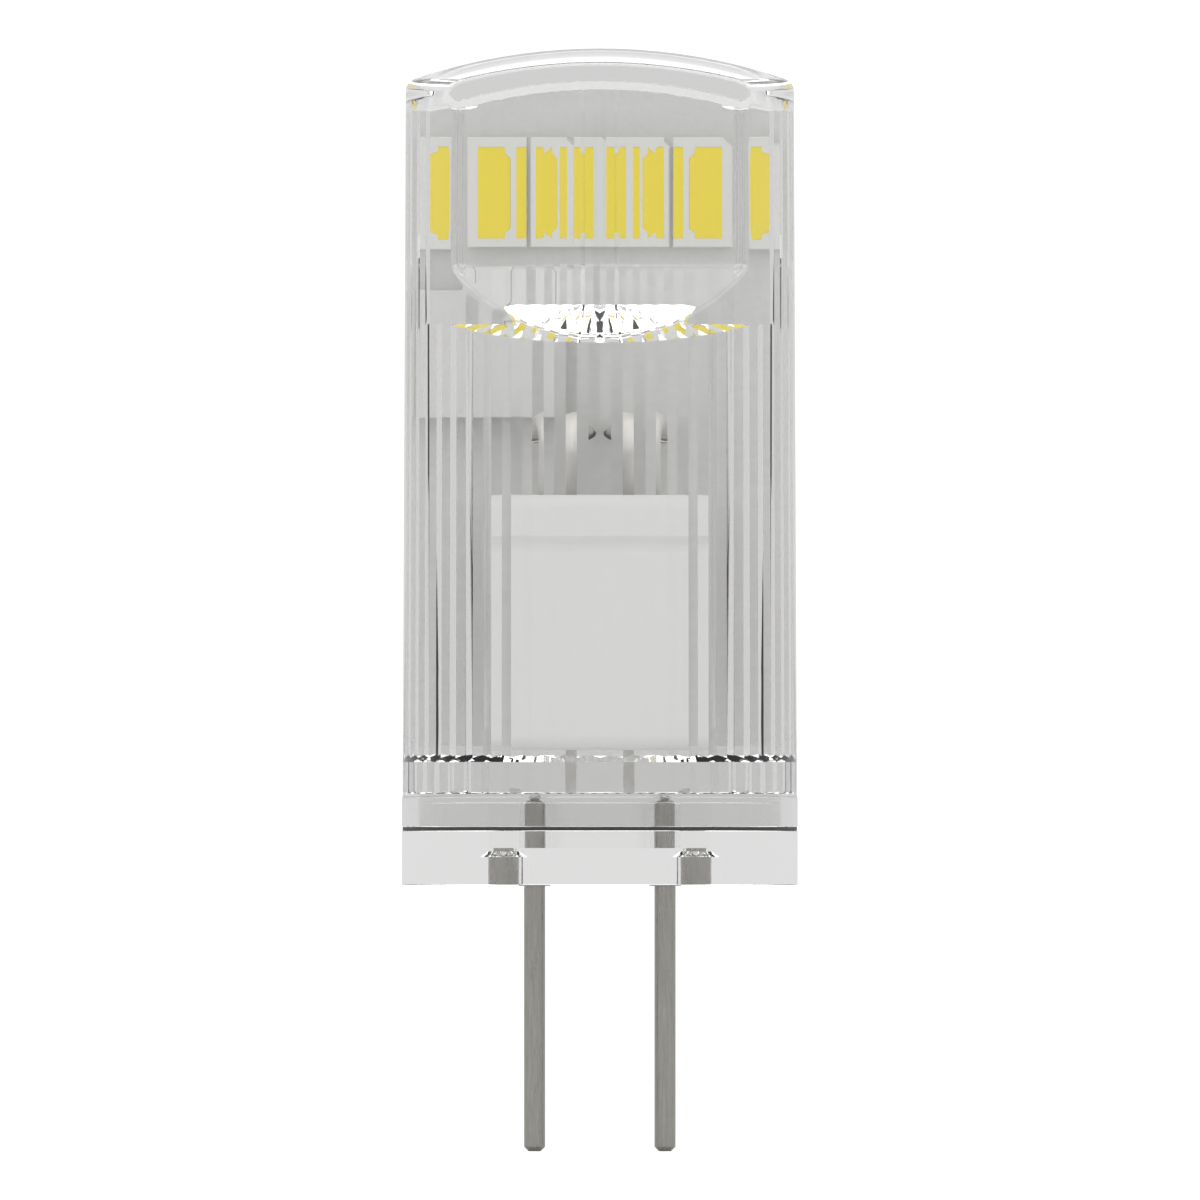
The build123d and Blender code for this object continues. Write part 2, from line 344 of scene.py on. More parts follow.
def make(tree: bpy.types.NodeTree, *kinds: str) -> list[bpy.types.Node]:
    """Adds shader nodes of the kinds named and returns them."""
    return [tree.nodes.new(f"ShaderNode{kind}") for kind in kinds]


def fill(node: bpy.types.Node, **values: object) -> None:
    """Sets a node's inputs, an underscore in a name standing for a space."""
    for name, value in values.items():
        node.inputs[name.replace("_", " ")].default_value = value


def join(tree: bpy.types.NodeTree, *runs: tuple) -> None:
    """Links nodes: each run is a node, its output, the next node and its input."""
    for source, leaving, target, entering in runs:
        tree.links.new(source.outputs[leaving], target.inputs[entering])


def grain_group() -> bpy.types.NodeTree:
    """Shader group of uneven grain: noise in object space, stretched by the sizes given.

    Returns:
        The group, with a Value output between Low and High and a Height output from 0 to 1.
    """
    if "moulding_grain" in bpy.data.node_groups:
        return bpy.data.node_groups["moulding_grain"]
    tree = bpy.data.node_groups.new("moulding_grain", "ShaderNodeTree")
    defaults = {"Scale Across": 4000.0, "Scale Along": 4000.0, "Detail": 3.0, "Low": 0.0, "High": 1.0}
    for name, value in defaults.items():
        socket = tree.interface.new_socket(name=name, in_out="INPUT", socket_type="NodeSocketFloat")
        socket.default_value = value
    for name in ("Value", "Height"):
        tree.interface.new_socket(name=name, in_out="OUTPUT", socket_type="NodeSocketFloat")
    entry, leave = tree.nodes.new("NodeGroupInput"), tree.nodes.new("NodeGroupOutput")
    place, sizes, stretch, noise, spread = make(tree, "TexCoord", "CombineXYZ", "VectorMath", "TexNoise",
                                                "MapRange")
    stretch.operation = "MULTIPLY"
    fill(noise, Scale=1.0)
    fill(spread, From_Min=NOISE_LOW, From_Max=NOISE_HIGH)
    join(tree, (entry, "Scale Across", sizes, "X"), (entry, "Scale Across", sizes, "Y"),
         (entry, "Scale Along", sizes, "Z"), (place, "Object", stretch, 0), (sizes, "Vector", stretch, 1),
         (stretch, "Vector", noise, "Vector"), (entry, "Detail", noise, "Detail"),
         (noise, "Fac", spread, "Value"), (entry, "Low", spread, "To Min"),
         (entry, "High", spread, "To Max"), (spread, "Result", leave, "Value"),
         (noise, "Fac", leave, "Height"))
    return tree


@dataclass(frozen=True)
class Finish:
    """Opaque surface with an uneven colour and gloss.

    Attributes:
        name: First part of the material's name.
        light: Colour of its light places.
        dark: Colour of its dark places.
        metallic: 1 for metal.
        smooth: Lowest roughness.
        rough: Highest roughness.
        across: Grain per metre across.
        along: Grain per metre upwards.
        relief: Depth of the grain, in metres.
    """

    name: str
    light: Point
    dark: Point
    metallic: float = 0.0
    smooth: float = 0.4
    rough: float = 0.6
    across: float = 4000.0
    along: float = 4000.0
    relief: float = 2e-6

    def material(self) -> bpy.types.Material:
        """Builds the material once and returns it."""
        name = f"{self.name}_finish"
        if name in bpy.data.materials:
            return bpy.data.materials[name]
        made = bpy.data.materials.new(name)
        made.use_nodes = True
        shader = made.node_tree.nodes["Principled BSDF"]
        grain, tone, bump = make(made.node_tree, "Group", "Mix", "Bump")
        fill(shader, Metallic=self.metallic)
        grain.node_tree = grain_group()
        fill(grain, Scale_Across=self.across, Scale_Along=self.along, Low=self.smooth, High=self.rough)
        tone.data_type = "RGBA"
        fill(tone, A=(*self.dark, 1.0), B=(*self.light, 1.0))
        fill(bump, Distance=self.relief, Strength=BUMP_STRENGTH)
        join(made.node_tree, (grain, "Height", tone, "Factor"), (tone, "Result", shader, "Base Color"),
             (grain, "Value", shader, "Roughness"), (grain, "Height", bump, "Height"),
             (bump, "Normal", shader, "Normal"))
        return made


@dataclass(frozen=True)
class ClearPlastic:
    """Clear moulded plastic, with a faint unevenness from the mould.

    Shadow and diffuse rays pass it straight, so that what stands inside is lit as in the open.

    Attributes:
        name: Name of the material.
        tint: Light that one wall lets through.
        index: Refractive index.
        rough: Highest roughness.
        across: Unevenness per metre across.
        along: Unevenness per metre upwards.
    """

    name: str
    tint: Point = (0.83, 0.83, 0.825)
    index: float = 1.5
    rough: float = 0.02
    across: float = 500.0
    along: float = 200.0

    def material(self) -> bpy.types.Material:
        """Builds the material once and returns it."""
        if self.name in bpy.data.materials:
            return bpy.data.materials[self.name]
        made = bpy.data.materials.new(self.name)
        made.use_nodes = True
        nodes = made.node_tree.nodes
        shader = nodes["Principled BSDF"]
        grain, path, either = make(made.node_tree, "Group", "LightPath", "Math")
        straight, mix = make(made.node_tree, "BsdfTransparent", "MixShader")
        fill(shader, Metallic=0.0, Transmission_Weight=1.0, IOR=self.index, Base_Color=(*self.tint, 1.0))
        grain.node_tree = grain_group()
        fill(grain, Scale_Across=self.across, Scale_Along=self.along, Low=0.0, High=self.rough)
        either.operation = "MAXIMUM"
        join(made.node_tree, (grain, "Value", shader, "Roughness"), (path, "Is Shadow Ray", either, 0),
             (path, "Is Diffuse Ray", either, 1), (either, "Value", mix, "Fac"), (shader, "BSDF", mix, 1),
             (straight, "BSDF", mix, 2), (mix, "Shader", nodes["Material Output"], "Surface"))
        return made


CLEAR_COVER = ClearPlastic("clear_cover_plastic")
CLEAR_BASE = ClearPlastic("clear_base_plastic", (0.97, 0.97, 0.965))
PIN_METAL = Finish("pin_plating", (0.36, 0.35, 0.33), (0.26, 0.25, 0.23), 1.0, 0.24, 0.4, 16000, 900, 4e-6)
BOARD_MASK = Finish("board_mask", (0.68, 0.68, 0.67), (0.58, 0.58, 0.57), 0.0, 0.35, 0.5, 5000, 5000)
CAN_METAL = Finish("can_aluminium", (0.79, 0.79, 0.785), (0.73, 0.73, 0.725), 0.0, 0.5, 0.65, 9000, 9000)
RUBBER = Finish("seal_rubber", (0.035, 0.035, 0.033), (0.02, 0.02, 0.02), 0.0, 0.6, 0.8, 9000, 9000)
TINNED = Finish("tinned_wire", (0.80, 0.79, 0.77), (0.68, 0.67, 0.65), 1.0, 0.5, 0.65, 9000, 2000)
SOLDER = Finish("solder", (0.75, 0.75, 0.74), (0.55, 0.55, 0.54), 1.0, 0.25, 0.4, 7000, 7000)
CERAMIC = Finish("chip_ceramic", (0.71, 0.71, 0.70), (0.64, 0.64, 0.63), 0.0, 0.45, 0.6, 8000, 8000)
FERRITE = Finish("ferrite", (0.07, 0.065, 0.06), (0.035, 0.03, 0.03), 0.0, 0.5, 0.75, 12000, 12000)
COPPER = Finish("copper_winding", (0.70, 0.33, 0.16), (0.50, 0.20, 0.08), 1.0, 0.22, 0.35, 9000, 9000)
RESISTOR = Finish("resistor_glaze", (0.035, 0.035, 0.04), (0.02, 0.02, 0.022), 0.0, 0.2, 0.35, 6000, 6000)
CHIP_PLASTIC = Finish("chip_plastic", (0.04, 0.04, 0.042), (0.022, 0.022, 0.024), 0.0, 0.5, 0.7, 14e3, 14e3)
PACKAGE = Finish("led_package", (0.78, 0.78, 0.755), (0.70, 0.70, 0.675), 0.0, 0.4, 0.55, 9000, 9000)
PHOSPHOR = Finish("phosphor", (0.94, 0.77, 0.03), (0.88, 0.70, 0.02), 0.0, 0.4, 0.6, 22000, 22000)


def soft_max(a: np.ndarray, b: np.ndarray, size: float) -> np.ndarray:
    """Larger of two distances, rounded where they are closer than a size."""
    near = np.maximum(size - np.abs(a - b), 0) / size
    return np.maximum(a, b) + near * near * size / 4


# Rings of the cover: heights beside the ramp's foot and beside the window's, how far in and down the
# shoulder's rings lie, and how wide the rings of the dome and of the ceiling are.
KINK_STEPS = (-0.12, -0.06, -0.02, 0.02, 0.06, 0.12)
FOOT_STEPS = (-0.07, -0.02, 0.02, 0.07, 0.14)
SHOULDER = ((0.0, 0.28), (0.0, 0.18), (0.005, 0.1), (0.01, 0.04), (0.02, 0.01), (0.035, 0.0))
DOME_SCALES = (0.95, 0.92, 0.88, 0.82, 0.75, 0.67, 0.59, 0.5, 0.4, 0.3, 0.2, 0.1)
CEILING_SCALES = (1, 0.97, 0.92, 0.85, 0.77, 0.69, 0.6, 0.5, 0.4, 0.3, 0.2, 0.1)


@dataclass
class ClearCover:
    """One-piece clear cap: domed, with a flat window front and back and V flutes inside.

    Attributes:
        rib_foot: Height at which the counterbore's shallow ribs start.
        flute_mouth: Height at which the 45 degree cone under the flutes starts.
        valley: Radius of the flutes' valleys.
        crest: Radius of the flutes' crests.
        ledge: Height of the ledge inside a window, at the window's inner face.
        ledge_fall: How far the ledge falls for each millimetre outward.
        line_shift: How far the window's two fine lines stand off the even pitch.
        pillar_angle: Angle from the sides, in degrees, up to which the corners are thickened.
        pillar_radius: Inner radius of that thickening at its window side.
        pillar_flare: Growth of that radius for each degree away from it.
        side_share: Share of the height at which the body's radius is read for the ramp.
        crowding_radius: Radius at which the windows' upright edges stand.
        crowding: How strongly the outside columns gather at the windows' upright edges.
        crowding_reach: Angle in degrees over which they gather.
    """

    foot: float = 1.78
    foot_radius: float = 6.07
    skirt_top: float = 2.70
    body_radius: float = 6.05
    crown_radius: float = 5.95
    top: float = 25.66
    dome_radius: float = 17.8
    window_depth: float = 3.86
    window_foot: float = 18.96
    counterbore: float = 5.57
    rib_foot: float = 2.80
    rib_step: float = 0.02
    flute_mouth: float = 3.77
    flute_foot: float = 3.985
    valley: float = 5.45
    crest: float = 5.37
    ledge: float = 17.20
    ledge_fall: float = 0.25
    inner_window: float = 3.10
    inner_crest: float = 3.00
    line_shift: float = 0.063
    pillar_angle: float = 38.1
    pillar_radius: float = 5.02
    pillar_flare: float = 0.033
    ceiling: float = 24.70
    ceiling_radius: float = 15.8
    flutes: int = 50
    split: int = 3
    edge_round: float = 0.30
    ramp_round: float = 0.12
    window_round: float = 0.14
    lip: float = 0.03
    brow: float = 0.02
    side_share: float = 0.66
    crowding_radius: float = 5.98
    crowding: float = 0.78
    crowding_reach: float = 4.0
    kink_margin: float = 0.5
    wall_margin: float = 0.3
    brim_margin: float = 0.4
    points: list[Point] = field(default_factory=list)
    faces: list[tuple[int, ...]] = field(default_factory=list)
    corners: list[tuple[float, float, float]] = field(default_factory=list)
    smooth: list[bool] = field(default_factory=list)

    @property
    def count(self) -> int:
        """Columns round the cover."""
        return 2 * self.flutes * self.split

    def gap(self, p: np.ndarray) -> np.ndarray:
        """Signed distance, roughly, from points to the outside surface above the skirt."""
        x, y, z = p.T
        out = np.hypot(x, y)
        rise = np.clip((z - self.skirt_top) / (self.top - self.skirt_top), 0, 1)
        side = out - self.body_radius + (self.body_radius - self.crown_radius) * rise
        dome = np.hypot(out, z - self.top + self.dome_radius) - self.dome_radius
        flat = np.abs(y) - self.window_depth
        ramp = (z + np.abs(y) - self.window_foot - self.window_depth) / math.sqrt(2)
        cut = -soft_max(-flat, -ramp, self.ramp_round)
        return soft_max(soft_max(side, dome, self.edge_round), cut, self.window_round)

    def settle(self, p: np.ndarray, rounds: int = 5) -> tuple[np.ndarray, np.ndarray]:
        """Moves points onto the outside surface.

        Args:
            p: Points near the surface.
            rounds: Number of steps towards it.

        Returns:
            The points on the surface and its normals there.
        """
        step, least = 1e-4, 0.2
        for turn in range(rounds + 1):
            rise = [self.gap(p + e) - self.gap(p - e) for e in np.eye(3) * step]
            slope = np.stack(rise, axis=1) / (2 * step)
            if turn < rounds:
                size = np.sum(slope * slope, axis=1, keepdims=True)
                p = p - self.gap(p)[:, None] * slope / np.maximum(size, least)
        return p, slope / np.linalg.norm(slope, axis=1, keepdims=True)

    def ring(self, p: np.ndarray) -> Ring:
        """Adds a ring of points and returns their numbers."""
        first = len(self.points)
        self.points.extend(map(tuple, p.tolist()))
        return list(range(first, first + len(p)))

    def band(self, low: Sequence[int], high: Sequence[int], low_way: Optional[np.ndarray],
             high_way: Optional[np.ndarray], inside: bool = False) -> None:
        """Joins two rings with faces.

        Args:
            low: First ring.
            high: Second ring, or one point.
            low_way: Normals on the first ring, or None for flat faces.
            high_way: Normals on the second ring, or None for flat faces.
            inside: Whether the faces look towards the axis.
        """
        total = len(low)
        for k in range(total):
            n = (k + 1) % total
            a, b = k % len(high), n % len(high)
            quad = [(low[k], low_way, k), (low[n], low_way, n)]
            quad += [(high[b], high_way, b), (high[a], high_way, a)]
            if inside:
                quad.reverse()
            kept = [c for i, c in enumerate(quad) if c[0] != quad[i - 1][0]]
            if len({c[0] for c in kept}) < 3:
                continue
            self.faces.append(tuple(c[0] for c in kept))
            self.smooth.append(low_way is not None)
            for _, way, at in kept:
                self.corners.append((0.0, 0.0, 0.0) if way is None else tuple(way[at]))

    def outer_columns(self) -> tuple[np.ndarray, np.ndarray]:
        """Cosine and sine of each outside column, crowded at the windows' upright edges."""
        turn = np.radians(np.arange(self.count) * 360 / self.count - 90)
        fold = np.degrees(np.arcsin(np.abs(np.sin(turn)).clip(0, 1)))
        edge = math.degrees(math.asin(self.window_depth / self.crowding_radius))
        off = fold - edge
        fold = np.radians(edge + off * (1 - self.crowding * np.exp(-((off / self.crowding_reach) ** 2))))
        across = np.cos(fold) * np.where(np.cos(turn) < 0, -1, 1)
        deep = np.sin(fold) * np.where(np.sin(turn) < 0, -1, 1)
        return across, deep

    def outside(self) -> Ring:
        """Draws the outside, from the foot to the top of the dome, and returns the foot's ring."""
        across, deep = self.outer_columns()
        level = np.zeros(self.count)
        radial = np.stack([across, deep, level], axis=1)
        up = np.tile((0.0, 0.0, 1.0), (self.count, 1))

        def circle(radius: float, height: float) -> Ring:
            """Ring of one radius at one height."""
            return self.ring(np.stack([across * radius, deep * radius, level + height], axis=1))

        foot = circle(self.foot_radius - self.lip, self.foot)
        lip = circle(self.foot_radius, self.foot + self.lip)
        brow = circle(self.foot_radius, self.skirt_top - self.brow)
        step = circle(self.foot_radius - self.brow, self.skirt_top)
        slant = radial - up
        slant /= math.sqrt(2)
        self.band(foot, lip, slant, radial)
        self.band(lip, brow, radial, radial)
        self.band(brow, step, radial, (radial + up) / math.sqrt(2))
        wide = self.body_radius - (self.body_radius - self.crown_radius) * self.side_share
        line = self.window_foot
        kink = np.minimum(line + self.window_depth - wide * np.abs(deep), line - self.kink_margin)
        base = self.skirt_top + self.brow
        near = KINK_STEPS[-1]
        heights = [level + base]
        heights += [base + (kink - self.wall_margin - base) * k / 6 for k in range(1, 7)]
        heights += [kink + d for d in KINK_STEPS]
        heights += [kink + near + (line - near - kink - near) * k / 4 for k in range(1, 5)]
        heights += [level + line + d for d in FOOT_STEPS]

        def footprint(height: np.ndarray) -> tuple[np.ndarray, np.ndarray]:
            """Where the columns stand at a height."""
            rise = (height - self.skirt_top) / (self.top - self.skirt_top)
            radius = self.body_radius - (self.body_radius - self.crown_radius) * rise
            limit = np.maximum(self.window_foot + self.window_depth - height, self.window_depth)
            return across * radius, np.sign(deep) * np.minimum(np.abs(deep) * radius, limit)

        x, y = footprint(level + self.top - 1)
        reach = np.hypot(x, y)
        brim = self.top - self.dome_radius + np.sqrt(self.dome_radius ** 2 - reach ** 2)
        last = line + FOOT_STEPS[-1]
        heights += [last + (brim - self.brim_margin - last) * k / 5 for k in range(1, 6)]
        guesses = [np.stack([*footprint(h), h], axis=1) for h in heights]
        for inward, drop in SHOULDER:
            guesses.append(np.stack([x * (1 - inward), y * (1 - inward), brim - drop], axis=1))
        for scale in DOME_SCALES:
            height = self.top - self.dome_radius + np.sqrt(self.dome_radius ** 2 - (reach * scale) ** 2)
            guesses.append(np.stack([x * scale, y * scale, height], axis=1))
        last_ring, last_way = step, up
        for number, guess in enumerate(guesses):
            spots, way = self.settle(guess)
            ring = self.ring(spots)
            self.band(last_ring, ring, last_way if number else None, way if number else None)
            last_ring, last_way = ring, way
        peak = self.ring(np.array([[0.0, 0.0, self.top]]))
        self.band(last_ring, peak, last_way, up)
        return foot

    def star(self, flat: float = 0.0) -> np.ndarray:
        """Fluted section, flattened front and back and thickened beside the flats where a flat is given."""
        corners = []
        for i in range(2 * self.flutes):
            turn = math.pi * i / self.flutes - math.pi / 2
            a, b = math.cos(turn), math.sin(turn)
            radius = self.crest if i % 2 else self.valley
            fold = math.degrees(math.asin(min(abs(b), 1.0)))
            if flat and fold < self.pillar_angle:
                thick = self.pillar_radius + (self.pillar_angle - fold) * self.pillar_flare
                radius = min(radius, thick)
            if flat and abs(b) * radius > flat:
                x = flat * a / abs(b)
                if min(i % self.flutes, -i % self.flutes) == 2:
                    x += math.copysign(self.line_shift, x)
                corners.append((x, math.copysign(self.inner_crest if i % 2 else flat, b)))
            else:
                corners.append((radius * a, radius * b))
        spread = []
        for here, after in zip(corners, corners[1:] + corners[:1]):
            for k in range(self.split):
                t = k / self.split
                spread.append([here[0] + (after[0] - here[0]) * t, here[1] + (after[1] - here[1]) * t])
        return np.array(spread)

    def inside(self, foot: Sequence[int]) -> None:
        """Draws the inside, from the foot's ring to the middle of the ceiling."""
        turn = np.radians(np.arange(self.count) * 360 / self.count - 90)
        inward = -np.stack([np.cos(turn), np.sin(turn), turn * 0], axis=1)
        level = turn * 0
        bore = -inward * self.counterbore
        mouth = self.ring(bore + (0, 0, self.foot))
        self.band(foot, mouth, None, None, inside=True)
        bore_top = self.ring(bore + (0, 0, self.rib_foot))
        self.band(mouth, bore_top, inward, inward, inside=True)
        lower = self.star()
        ribs = lower * self.counterbore / self.valley
        rib_low = self.ring(np.column_stack([ribs, level + self.rib_foot + self.rib_step]))
        self.band(bore_top, rib_low, None, None, inside=True)
        rib_high = self.ring(np.column_stack([ribs, level + self.flute_mouth]))
        self.band(rib_low, rib_high, None, None, inside=True)
        rate = (self.flute_foot - self.flute_mouth) / (self.counterbore - self.crest)
        start = self.flute_mouth + rate * (self.counterbore - np.hypot(*lower.T))
        flute_low = self.ring(np.column_stack([lower, start]))
        cone = inward * rate - (0, 0, 1)
        cone /= np.linalg.norm(cone, axis=1, keepdims=True)
        self.band(rib_high, flute_low, cone, cone, inside=True)
        fall = np.maximum(np.abs(lower[:, 1]) - self.inner_window, 0) * self.ledge_fall
        flute_high = self.ring(np.column_stack([lower, self.ledge - fall]))
        self.band(flute_low, flute_high, None, None, inside=True)
        upper = self.star(self.inner_window)
        same = np.hypot(*(upper - lower).T) < TINY
        fall = np.maximum(np.abs(upper[:, 1]) - self.inner_window, 0) * self.ledge_fall
        added = self.ring(np.column_stack([upper, self.ledge - fall]))
        shelf = [a if keep else b for a, b, keep in zip(flute_high, added, same)]
        self.band(flute_high, shelf, None, None, inside=True)
        middle = self.ceiling - self.ceiling_radius
        ring = shelf
        way = None
        for scale in CEILING_SCALES:
            spots = upper * scale
            height = middle + np.sqrt(self.ceiling_radius ** 2 - np.sum(spots * spots, axis=1))
            place = np.column_stack([spots, height])
            above = self.ring(place)
            above_way = -(place - (0, 0, middle)) / self.ceiling_radius
            self.band(ring, above, way, above_way if way is not None else None, inside=True)
            ring, way = above, above_way
        peak = self.ring(np.array([[0.0, 0.0, self.ceiling]]))
        self.band(ring, peak, way, np.array([[0.0, 0.0, -1.0]]), inside=True)

    def build(self) -> None:
        """Makes the cover and dresses it."""
        foot = self.outside()
        self.inside(foot)
        used = sorted({v for f in self.faces for v in f})
        number = {old: new for new, old in enumerate(used)}
        mesh = bpy.data.meshes.new("dressed_clear_cover")
        spots = [[c * MM for c in self.points[v]] for v in used]
        mesh.from_pydata(spots, [], [tuple(number[v] for v in f) for f in self.faces])
        mesh.polygons.foreach_set("use_smooth", self.smooth)
        mesh.update()
        mesh.normals_split_custom_set(self.corners)
        thing = bpy.data.objects.new("dressed_clear_cover", mesh)
        bpy.context.scene.collection.objects.link(thing)
        seat_piece(thing, "clear_plastic", ["clear_cover"], [CLEAR_COVER], False)


@dataclass
class Base:
    """Clear plug, the ring pressed under the cover and the two contact pins.

    Attributes:
        sink: How far the sleeves start below the pocket's floor.
        tip: Chamfer of a pin's tip.
        collar_foot: Depth of a pin's collar below the plug.
    """

    radius: float = 6.07
    flange: float = 1.67
    spigot_radius: float = 5.52
    spigot_top: float = 2.53
    pocket: float = 3.4
    floor: float = 1.13
    pin_x: float = 2.0
    pin_radius: float = 0.325
    collar_radius: float = 0.49
    collar_height: float = 0.85
    gap: float = 0.01
    boss_radius: float = 0.49
    boss_top: float = 2.5
    sink: float = 0.2
    ring_gap: float = 0.02
    ring_edge: float = 0.02
    tip: float = 0.14
    collar_foot: float = 0.03
    edge: float = 0.03

    def plug(self) -> None:
        """Makes the plug: a flange, a spigot with a pocket, and a sleeve round each pin."""
        e = self.edge
        top = self.spigot_top
        outline = rounded([(0, 0, 0), (self.radius, 0, e), (self.radius, self.flange, e),
                           (self.spigot_radius, self.flange, 0), (self.spigot_radius, top, e),
                           (self.pocket, top, e), (self.pocket, self.floor, 0), (0, self.floor, 0)], 3)
        body = Sketch().turn(outline, steps=256).thing("dressed_base_plug")
        tools = []
        hole = self.pin_radius + self.gap
        wide = self.collar_radius + self.gap
        for side in (-1, 1):
            at = (side * self.pin_x, 0, 0)
            r, low, high = self.boss_radius, self.floor - self.sink, self.boss_top
            boss = Sketch().turn([(0, low), (r, low), (r, high - e), (r - e, high), (0, high)], at, steps=64)
            tools.append((boss.thing(f"boss_{side}"), Cut.ADD))
            neck = self.collar_height + self.gap + wide - hole
            under, over = -CUTTER_PAST, self.boss_top + CUTTER_PAST
            bore = Sketch().turn([(0, under), (wide, under), (wide, self.collar_height + self.gap),
                                  (hole, neck), (hole, over), (0, over)], at, steps=64)
            tools.append((bore.thing(f"bore_{side}"), Cut.TAKE))
        carve(body, tools)
        seat_piece(body, "clear_plastic_base", ["base_plug"], [CLEAR_BASE])

    def ring(self) -> None:
        """Makes the dark ring between the flange and the cover's foot."""
        low, high = span("seal_ring")
        outer, inner, e = high[0], self.spigot_radius + self.ring_gap, self.ring_edge
        foot, top = low[2], high[2]
        outline = rounded([(outer, foot, e), (outer, top, e), (inner, top, e), (inner, foot, e)], 3, True)
        # Near-black ring in the joint under the cover's foot, which draws the dark line along the joint; its
        # finish is the same one as the capacitor's rubber seal.
        Sketch().turn(outline, steps=192, loop=True).seat("seal_ring", "seal_rubber", RUBBER)

    def pin(self, side: int, word: str) -> None:
        """Makes one contact pin."""
        node = f"contact_pin_{word}"
        low, high = span(node)
        r, c, tip, e = self.pin_radius, self.collar_radius, self.tip, self.edge
        outline = rounded([(0, low[2], 0), (r - tip, low[2], e), (r, low[2] + tip, e),
                           (r, -self.collar_foot, 0), (c, -self.collar_foot, self.ring_edge),
                           (c, self.collar_height, 0),
                           (r, self.collar_height + c - r, 0), (r, high[2], tip), (0, high[2], 0)], 6)
        pin = Sketch().turn(outline, (side * self.pin_x, 0, 0), steps=64)
        pin.seat(node, "pin_metal", PIN_METAL, sharp=25)

    def build(self) -> None:
        """Makes every piece of the base."""
        self.plug()
        self.ring()
        self.pin(-1, "left")
        self.pin(1, "right")


@dataclass
class Capacitor:
    """Electrolytic capacitor: can, rubber seal and two bent leads."""

    radius: float = 3.20
    groove_low: float = 10.15
    groove_high: float = 10.70
    groove_depth: float = 0.25
    wall: float = 0.25
    rim: float = 0.5
    shoulder: float = 0.45
    seal_foot: float = 10.73
    lead_x: float = 1.25
    lead_radius: float = 0.275
    bend: float = 0.6
    vent_radius: float = 1.9
    vent_depth: float = 0.12
    vent_slope: float = 0.15
    gap: float = 0.02

    def build(self) -> None:
        """Makes the can, the seal and the leads."""
        low, high = span("capacitor_can")
        at = (0.0, (low[1] + high[1]) / 2, 0.0)
        r, top = self.radius, high[2]
        bore, lip = r - self.wall, r - self.wall - self.rim
        middle = (self.groove_low + self.groove_high) / 2
        vent = low[2] + self.vent_depth
        outline = rounded([(0, vent, 0), (self.vent_radius, vent, 0.1),
                           (self.vent_radius + self.vent_slope, low[2], 0.1),
                           (r, low[2], self.shoulder), (r, self.groove_low, 0.06),
                           (r - self.groove_depth, middle, 0.12), (r, self.groove_high, 0.06),
                           (r, top, self.shoulder), (lip, top, 0.12), (lip, top - self.rim, 0.08),
                           (bore, top - self.rim, 0.05), (bore, self.seal_foot, 0.05),
                           (0, self.seal_foot, 0)], 7)
        Sketch().turn(outline, at, steps=192).seat("capacitor_can", "can_aluminium", CAN_METAL, sharp=40)
        seal_low, seal_high = span("capacitor_seal")
        step = top - self.rim - self.gap
        edge = bore - self.gap
        outline = rounded([(0, seal_low[2], 0), (edge, seal_low[2], 0.05), (edge, step, 0.05),
                           (edge - self.rim, step, 0.0), (edge - self.rim, seal_high[2], 0.08),
                           (0, seal_high[2], 0)], 4)
        seal = Sketch().turn(outline, at, steps=96).thing("dressed_capacitor_seal")
        tools = []
        for side in (-1, 1):
            wide = self.lead_radius + self.gap
            under, over = seal_low[2] - CUTTER_PAST, seal_high[2] + CUTTER_PAST
            hole = Sketch().turn([(0, under), (wide, under), (wide, over), (0, over)],
                                 (side * self.lead_x, at[1], 0), steps=40)
            tools.append((hole.thing(f"seal_hole_{side}"), Cut.TAKE))
        carve(seal, tools)
        seat_piece(seal, "seal_rubber", ["capacitor_seal"], [RUBBER])
        for side, word in ((-1, "left"), (1, "right")):
            node = f"capacitor_lead_{word}"
            a, b = span(node)
            x, y, z = side * self.lead_x, at[1], b[2] - self.lead_radius
            lead = Sketch().tube([(x, y, a[2]), (x, y, z), (x, b[1], z)], self.lead_radius, self.bend)
            lead.seat(node, "tinned_wire", TINNED)


